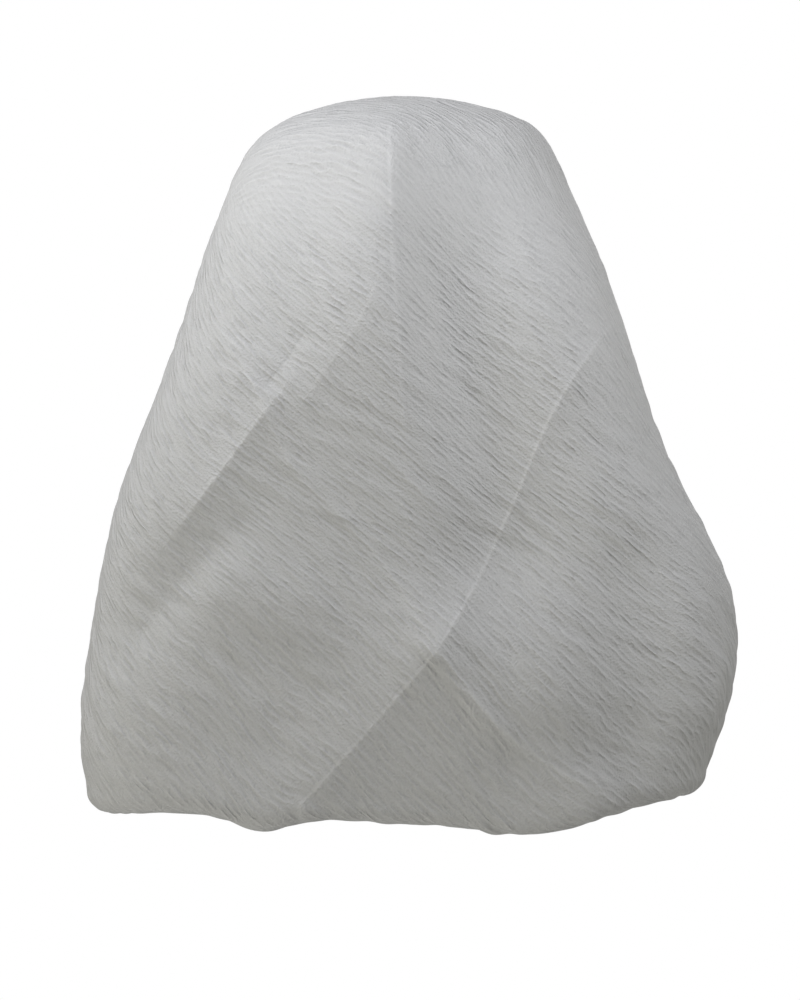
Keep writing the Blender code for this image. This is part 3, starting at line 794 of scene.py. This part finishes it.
class BANDANA_OT_drape(bpy.types.Operator):
    """The main cloth, from the brow over the crown to the rolled bottom edge"""

    bl_idname = "bandana.drape"
    bl_label = "Drape"

    def execute(self, context):
        settings = context.scene.bandana_cloth
        u, v = cloth_lines()
        turn, fall = turn_and_fall(u, v)
        back, crown, share = cloth_maps(turn, fall)
        rise = swells(back) * (1 - share) + swells(crown) * share
        outward = facing(cloth, u, v)
        outer = cloth(u, v) + outward * (rise * settings.swell)[..., None]
        inner = cloth(u, v) - outward * settings.thickness
        points, faces = wall(outer, inner, INNER_STEP)
        maps = {"cloth": both_faces(back, INNER_STEP), "crown": both_faces(crown, INNER_STEP)}
        attributes = {"crown_share": share, **pressed_places(turn, fall)}
        attributes = {name: both_faces(values, INNER_STEP) for name, values in attributes.items()}
        piece = new_piece("drape_cloth", points, faces, maps, attributes)
        piece.data.materials.append(gauze("cotton_crinkle_gauze", settings.colour, True))
        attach(piece, "root")
        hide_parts("drape")
        return {"FINISHED"}


# Section of the turned hem: mm back from the face edge and mm in from the outer face, round the fold and back
HEM_SECTION = (
    (1.3, -0.12), (0.2, -0.22), (-0.7, 0.05), (-1.15, 0.8), (-1.0, 1.7), (-0.3, 2.2), (1.5, 2.3), (4.0, 2.25),
    (7.0, 2.35), (10.0, 2.3), (13.0, 2.35), (16.0, 2.1), (17.6, 2.25), (18.2, 2.0),
    (18.0, 1.45), (16.0, 1.35), (12.0, 1.4), (8.0, 1.4), (4.0, 1.4), (0.8, 1.4), (-0.3, 1.3), (-0.5, 0.8),
    (-0.3, 0.2), (0.3, -0.05), (1.3, -0.04),
)
HEM_COLUMNS = 501

# The hem's inner layer, from this far back and in (mm), puckers in waves along the edge
INNER_LAYER = (2.0, 1.9)
PUCKERS = 9
PUCKER_WAVES = (60, 150)
PUCKER_DEPTH = 0.12

# Both rows of stitches: mm back from the edge, mm in from the outer face, and the share of the edge they run
STITCH_LINE = 16.0
STITCH_DEPTHS = (-0.05, 2.2)
STITCH_FLATNESS = 0.7
ROW_END = 0.995
ROW_MARGIN = 0.002
STITCH_FACING = 0.08


def edge_point(u, back, depth):
    """Points of the face edge's hem: back from the edge and in from the outer face, in metres."""
    step = 1e-3
    zero = np.zeros_like(u)
    stretch = np.linalg.norm(place(u, zero + step) - place(u, zero), axis=-1) / step
    v = back / stretch
    ahead = np.minimum(v, 0)[..., None]
    v = np.maximum(v, 0)
    on_cloth = cloth(u, v)
    along = (cloth(u, zero + step) - cloth(u, zero)) / step
    return on_cloth + along * ahead - facing(cloth, u, v) * depth[..., None]


class BANDANA_OT_hem(bpy.types.Operator):
    """The turned and stitched hem of the face edge"""

    bl_idname = "bandana.hem"
    bl_label = "Face hem"

    def execute(self, context):
        settings = context.scene.bandana_cloth
        u = np.linspace(-1, 1, HEM_COLUMNS)
        section = np.array(HEM_SECTION) * MM
        turned, u_all = np.meshgrid(np.arange(len(section)), u)
        random = np.random.default_rng(SWELL_SEED)
        waves = random.integers(*PUCKER_WAVES, PUCKERS)
        pucker = sum(np.sin(u * math.pi * n + random.uniform(0, math.tau)) for n in waves)
        pucker = pucker / math.sqrt(PUCKERS)
        inside = (section[:, 0] > INNER_LAYER[0] * MM) & (section[:, 1] > INNER_LAYER[1] * MM)
        depth = section[turned, 1] + np.outer(pucker, inside) * PUCKER_DEPTH * MM
        points = edge_point(u_all, section[turned, 0], depth)
        rows, around = points.shape[:2]
        at = np.arange(rows * around).reshape(rows, around)
        after = np.roll(at, -1, axis=1)
        faces = np.stack([at[:-1], after[:-1], after[1:], at[1:]], -1).reshape(-1, 4).tolist()
        faces += [at[0, ::-1].tolist(), at[-1].tolist()]
        run = np.concatenate([[0], np.linalg.norm(np.diff(points[:, 0], axis=0), axis=-1).cumsum()])
        along = np.broadcast_to(run[:, None], (rows, around))
        flat = np.stack([along, section[turned, 0] + section[turned, 1]], -1)
        hem = new_piece("face_hem", points.reshape(-1, 3), faces, {"cloth": flat.reshape(-1, 2)})
        hem.data.materials.append(gauze("turned_gauze", settings.colour, False))
        stitches = self.stitch_row(settings)
        for piece in (hem, stitches):
            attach(piece, "root")
        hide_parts("front_hem")
        return {"FINISHED"}

    def stitch_row(self, settings):
        """Both rows of stitches, the outer face's and the inner one's, as one piece of copies of a stitch."""
        deselect()
        bpy.ops.mesh.primitive_uv_sphere_add(segments=8, ring_count=6, radius=0.5)
        model = bpy.context.object
        size = (settings.hem_stitch, settings.thread_size, settings.thread_size * STITCH_FLATNESS)
        bpy.ops.transform.resize(value=size)
        bpy.ops.object.transform_apply(location=True, rotation=True, scale=True)
        shape = np.array([vertex.co for vertex in model.data.vertices])
        shape_faces = [list(face.vertices) for face in model.data.polygons]
        bpy.data.objects.remove(model)
        u = np.linspace(-ROW_END, ROW_END, 4001)
        path = edge_point(u, np.full_like(u, STITCH_LINE * MM), np.zeros_like(u))
        run = np.concatenate([[0], np.linalg.norm(np.diff(path, axis=0), axis=-1).cumsum()])
        marks = np.arange(ROW_MARGIN, run[-1] - ROW_MARGIN, settings.hem_stitch + settings.stitch_gap)
        spots = np.interp(marks, run, u)
        outward = facing(cloth, spots, np.full_like(spots, STITCH_FACING))
        line = np.full_like(spots, STITCH_LINE * MM)
        points, faces = [], []
        for depth in STITCH_DEPTHS:
            depths = np.full_like(spots, depth * MM)
            ahead, behind = (edge_point(spots + d, line, depths) for d in (1e-3, -1e-3))
            for middle, along, out in zip((ahead + behind) / 2, ahead - behind, outward):
                along = along / np.linalg.norm(along)
                side = np.cross(out, along)
                turned = np.stack([along, side / np.linalg.norm(side), out])
                faces += [[n + len(points) * len(shape) for n in face] for face in shape_faces]
                points.append(middle + shape @ turned)
        piece = new_piece("hem_stitches", np.concatenate(points), faces)
        piece.data.materials.append(thread("spun_polyester_thread", settings.thread_colour))
        return piece


# The tie's whole length, how much it is gathered at the knot, and within what share of half its length
STRAP_LENGTH = 0.27
GATHER = 0.35
GATHER_REACH = 0.16

# The knot on a ball 1 across: the turn that wraps it (half width, slant, rise), that turn's pleats (waves
# across and along, rise), the grooves of the lobes (waves, slant, rise), and what is left of the size
KNOT_WRAP = (0.17, 0.35, 0.16)
KNOT_PLEATS = (62, 22, 0.035)
KNOT_GROOVES = (2, 9, 0.05)
KNOT_SHRINK = (0.90, 0.92, 0.90)

# One end of the tie: its width at the knot and where it is full, as shares, and how much more it leans at its
# tip. Then its lengthwise ripples and, in metres, their height, its sag, half the step between both ends and
# its thickness.
TAIL_NECK = 0.45
TAIL_FULL = 0.6
TAIL_BEND = 0.25
TAIL_RIPPLES = 1.5
TAIL_RIPPLE = 0.0011
TAIL_SAG = 0.0015
TAIL_APART = 0.0012
TAIL_THICKNESS = 0.0009


def tie_end():
    """Turn of the tie's right end, just behind the front hem."""
    edge = np.interp(TIE_FALL_SHARE, [row.fall for row in FACE_EDGE], [row.turn for row in FACE_EDGE])
    half_width = float(section_size("left", TIE_FALL_SHARE)) * HALF_WIDTH
    return math.radians(edge) - (FRONT_HEM_WIDTH + TIE_WIDTH / 3) / half_width


def tie_face(s, k):
    """Outer face of the tie. s goes from its left to its right end, k from its upper to its lower edge."""
    step = 1e-3
    turn = tie_end() * s
    level = np.full_like(turn, TIE_FALL_SHARE)
    stretch = np.linalg.norm(hood(turn, level + step) - hood(turn, level), axis=-1) / step
    fall = level + (k - 0.5) * TIE_WIDTH / stretch
    wall_face = draped(turn, fall) - facing(draped, turn, fall) * (CLOTH + CLEARANCE)
    end_x, end_y, end_z = hood(tie_end(), TIE_FALL_SHARE)
    round_nape = s * math.pi / 2
    nape_x = end_x * np.sin(round_nape)
    nape_y = end_y - (end_y + NAPE_DEPTH) * np.cos(round_nape)
    nape_z = end_z - (end_z + NAPE_DROP) * np.cos(round_nape) - (k - 0.5) * TIE_WIDTH
    held = ease(TIE_GRIP_SHARE, 1, np.abs(s))[..., None]
    return wall_face * held + np.stack([nape_x, nape_y, nape_z], -1) * (1 - held)


class BANDANA_OT_tie(bpy.types.Operator):
    """The tie round the nape, with its knot and two short ends"""

    bl_idname = "bandana.tie"
    bl_label = "Nape tie"

    def execute(self, context):
        settings = context.scene.bandana_tie
        colour = context.scene.bandana_cloth.colour
        tape = gauze("folded_gauze_tape", colour, False)
        strap = self.strap(settings)
        knot = self.knot(settings)
        tails = [self.tail(settings, name, side) for name, side in (("left_tail", -1), ("right_tail", 1))]
        for piece in (strap, knot, *tails):
            piece.data.materials.append(tape)
            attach(piece, "root")
        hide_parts("nape_tie")
        return {"FINISHED"}

    def strap(self, settings):
        """The band from cheek to cheek, gathered towards the knot."""
        s, k = np.meshgrid(np.linspace(-1, 1, 241), np.linspace(0, 1, 29))
        gather = 1 - GATHER * np.exp(-((s / GATHER_REACH) ** 2))
        outer = tie_face(s, 0.5 + (k - 0.5) * gather)
        wander = 0.8 * np.sin(s * 5) + 0.5 * np.sin(s * 11 + 1)
        pleat = np.cos(k * math.tau * settings.pleats + wander) * settings.pleat_depth * np.sin(k * math.pi)
        outward = facing(tie_face, s, k)
        outer = outer - outward * (settings.pleat_depth - pleat)[..., None]
        points, faces = wall(outer, outer - outward * settings.thickness)
        run = np.stack([s * STRAP_LENGTH / 2, k * TIE_WIDTH], -1)
        return new_piece("tie_strap", points, faces, {"cloth": both_faces(run)})

    def knot(self, settings):
        """The knot: a full turn of the gathered tie over the strap, pressed flat towards the nape."""
        deselect()
        bpy.ops.mesh.primitive_uv_sphere_add(segments=96, ring_count=64, radius=0.5)
        piece = bpy.context.object
        piece.name = piece.data.name = "tie_knot"
        points = np.array([vertex.co for vertex in piece.data.vertices])
        half_width, slant, wrap_rise = KNOT_WRAP
        across, along, pleat_rise = KNOT_PLEATS
        waves, groove_slant, groove_rise = KNOT_GROOVES
        round_lobe = np.arctan2(points[:, 2], points[:, 1])
        grooves = np.cos(round_lobe * waves + points[:, 0] * groove_slant)
        wrap = np.exp(-(((points[:, 0] + points[:, 2] * slant) / half_width) ** 2))
        pleats = np.cos(points[:, 0] * across + points[:, 2] * along) * wrap
        grown = 1 + groove_rise * grooves * (1 - wrap) + wrap_rise * wrap + pleat_rise * pleats
        from_middle = np.linalg.norm(points, axis=1, keepdims=True)
        points = points / from_middle * 0.5 * grown[:, None] * KNOT_SHRINK
        middle = (0, -NAPE_DEPTH - settings.knot_size[1] / 4, -NAPE_DROP)
        points = points * tuple(settings.knot_size) + middle
        piece.data.vertices.foreach_set("co", points.ravel())
        layer = piece.data.uv_layers.active
        layer.name = "cloth"
        places = np.empty(len(layer.uv) * 2, np.float32)
        layer.uv.foreach_get("vector", places)
        layer.uv.foreach_set("vector", places * math.pi * settings.knot_size[0])
        piece.data.shade_smooth()
        return piece

    def tail(self, settings, name, side):
        """One short end: narrow at the knot, spreading to a cut and turned end."""
        across, down = np.meshgrid(np.linspace(-0.5, 0.5, 25), np.linspace(0, 1, 61))
        width = settings.tail_width * (TAIL_NECK + (1 - TAIL_NECK) * ease(0.0, TAIL_FULL, down))
        lean = side * settings.tail_lean * (1 + TAIL_BEND * down)
        length = settings.tail_length * down
        x = across * width * np.cos(lean) + length * np.sin(lean)
        z = -NAPE_DROP - length * np.cos(lean) + across * width * np.sin(lean)
        ripple = np.cos(across * math.tau * TAIL_RIPPLES + side * 0.8 + down * 1.5) * (1.1 - 0.6 * down)
        middle = -NAPE_DEPTH - settings.knot_size[1] / 4
        y = middle - TAIL_SAG * np.sin(down * math.pi) - ripple * TAIL_RIPPLE + side * TAIL_APART
        outer = np.stack([x, y, z], -1)
        points, faces = wall(outer[:, ::-1], outer[:, ::-1] + np.array([0, TAIL_THICKNESS, 0]))
        run = np.stack([across * width, -length], -1)[:, ::-1]
        return new_piece(name, points, faces, {"cloth": both_faces(run)})


# Soft square lamps. azimuth is to the right of the camera and elevation up from level, in degrees, both seen
# from the middle of the cloth. distance and size are in metres and power in watts.
Lamp = namedtuple("Lamp", "name azimuth elevation distance size power colour")
LAMPS = (
    Lamp("left_side_lamp", -60, -12, 2.0, 0.9, 15.2, "#FFFDF6"),
    Lamp("right_side_lamp", 64, -15, 2.0, 0.9, 6.4, "#FFFDF6"),
    Lamp("upper_left_lamp", -45, 55, 0.45, 0.20, 0.54, "#F8F9FF"),
    Lamp("left_lamp", -90, 50, 0.45, 0.20, 0.78, "#F8F9FF"),
    Lamp("right_lamp", 45, 38, 0.45, 0.20, 0.82, "#F8F9FF"),
    Lamp("upper_right_lamp", 70, 60, 0.45, 0.20, 0.12, "#F8F9FF"),
    Lamp("face_lamp", 165, 12, 2.0, 0.9, 16.0, "#FFFFFF"),
)


# The picture's width and height, and where in it the middle of the crown's top line is, in pixels
PICTURE = (800, 1000)
CROWN_TOP = (401, 94)
AIM_DEPTH = 0.04


class BANDANA_OT_studio(bpy.types.Operator):
    """Pale floor, soft lamps and the camera behind the bandana"""

    bl_idname = "bandana.studio"
    bl_label = "Studio"

    def execute(self, context):
        scene = context.scene
        settings = scene.bandana_stage
        self.floor(settings)
        for row in LAMPS:
            self.lamp(row, settings)
        self.sky(scene, settings)
        self.camera(scene, settings)
        scene.view_settings.view_transform = "Standard"
        return {"FINISHED"}

    def floor(self, settings):
        deselect()
        bpy.ops.mesh.primitive_plane_add(size=settings.floor_size, location=(0, 0, -settings.floor_drop))
        floor = bpy.context.object
        floor.name = "studio_floor"
        bpy.ops.object.transform_apply(location=True, rotation=True, scale=True)
        material, tree = new_material("matt_white_board")
        shader = node(tree, "ShaderNodeBsdfPrincipled", {"Base Color": linear("#F0F0EE"), "Roughness": 0.9})
        node(tree, "ShaderNodeOutputMaterial", {"Surface": shader.outputs[0]})
        floor.data.materials.append(material)

    def lamp(self, row, settings):
        """A square soft lamp turned to the middle of the cloth."""
        middle = Vector((0, -BACK_DEPTH / 2, -HEIGHT / 2))
        azimuth, elevation = math.radians(row.azimuth), math.radians(row.elevation)
        level = math.cos(elevation)
        away = Vector((math.sin(azimuth) * level, -math.cos(azimuth) * level, math.sin(elevation)))
        deselect()
        bpy.ops.object.light_add(type="AREA", location=middle + away * row.distance)
        lamp = bpy.context.object
        lamp.name = row.name
        lamp.data.energy = row.power * settings.lamp_power
        lamp.data.size = row.size
        lamp.data.color = linear(row.colour)[:3]
        lamp.rotation_euler = away.to_track_quat("Z", "Y").to_euler()

    def sky(self, scene, settings):
        """Even light from all round, with a white background behind the cloth."""
        world = bpy.data.worlds.new("studio_sky")
        world.use_nodes = True
        tree = world.node_tree
        tree.nodes.clear()
        seen = node(tree, "ShaderNodeLightPath")
        strength = node(tree, "ShaderNodeMapRange", {
            "Value": seen.outputs["Is Camera Ray"],
            "To Min": settings.sky,
            "To Max": 1.0,
        })
        shader = node(tree, "ShaderNodeBackground", {"Color": (1, 1, 1, 1), "Strength": strength.outputs[0]})
        node(tree, "ShaderNodeOutputWorld", {"Surface": shader.outputs[0]})
        scene.world = world

    def camera(self, scene, settings):
        """A long lens, level with the middle of the cloth."""
        pixel = settings.picture_height / PICTURE[1]
        right = (PICTURE[0] / 2 - CROWN_TOP[0]) * pixel
        down = (PICTURE[1] / 2 - CROWN_TOP[1]) * pixel
        aim = Vector((right, -AIM_DEPTH, CLOTH - down))
        deselect()
        bpy.ops.object.camera_add(location=aim - Vector((0, settings.camera_distance, 0)))
        camera = bpy.context.object
        camera.name = "studio_camera"
        camera.rotation_euler = (math.pi / 2, 0, 0)
        camera.data.lens = camera.data.sensor_width * settings.camera_distance / settings.picture_height
        camera.data.clip_end = 100
        scene.camera = camera


class BANDANA_PT_panel(bpy.types.Panel):
    """Lists the pieces and their settings"""

    bl_idname = "BANDANA_PT_panel"
    bl_label = "Pre-tied bandana"
    bl_space_type = "VIEW_3D"
    bl_region_type = "UI"
    bl_category = "Bandana"

    def draw(self, context):
        layout = self.layout
        for operator in OPERATORS:
            layout.operator(operator.bl_idname)
        for group in (context.scene.bandana_cloth, context.scene.bandana_tie, context.scene.bandana_stage):
            box = layout.box()
            for name in group.__annotations__:
                box.prop(group, name)


OPERATORS = (BANDANA_OT_drape, BANDANA_OT_hem, BANDANA_OT_tie, BANDANA_OT_studio)
CLASSES = (BANDANA_PG_cloth, BANDANA_PG_tie, BANDANA_PG_stage, *OPERATORS, BANDANA_PT_panel)


def register():
    for item in CLASSES:
        bpy.utils.register_class(item)
    bpy.types.Scene.bandana_cloth = PointerProperty(type=BANDANA_PG_cloth)
    bpy.types.Scene.bandana_tie = PointerProperty(type=BANDANA_PG_tie)
    bpy.types.Scene.bandana_stage = PointerProperty(type=BANDANA_PG_stage)


def unregister():
    del bpy.types.Scene.bandana_stage
    del bpy.types.Scene.bandana_tie
    del bpy.types.Scene.bandana_cloth
    for item in reversed(CLASSES):
        bpy.utils.unregister_class(item)


def main():
    """Builds every piece."""
    register()
    bpy.ops.bandana.drape()
    bpy.ops.bandana.hem()
    bpy.ops.bandana.tie()
    bpy.ops.bandana.studio()


if __name__ == "__main__":
    main()
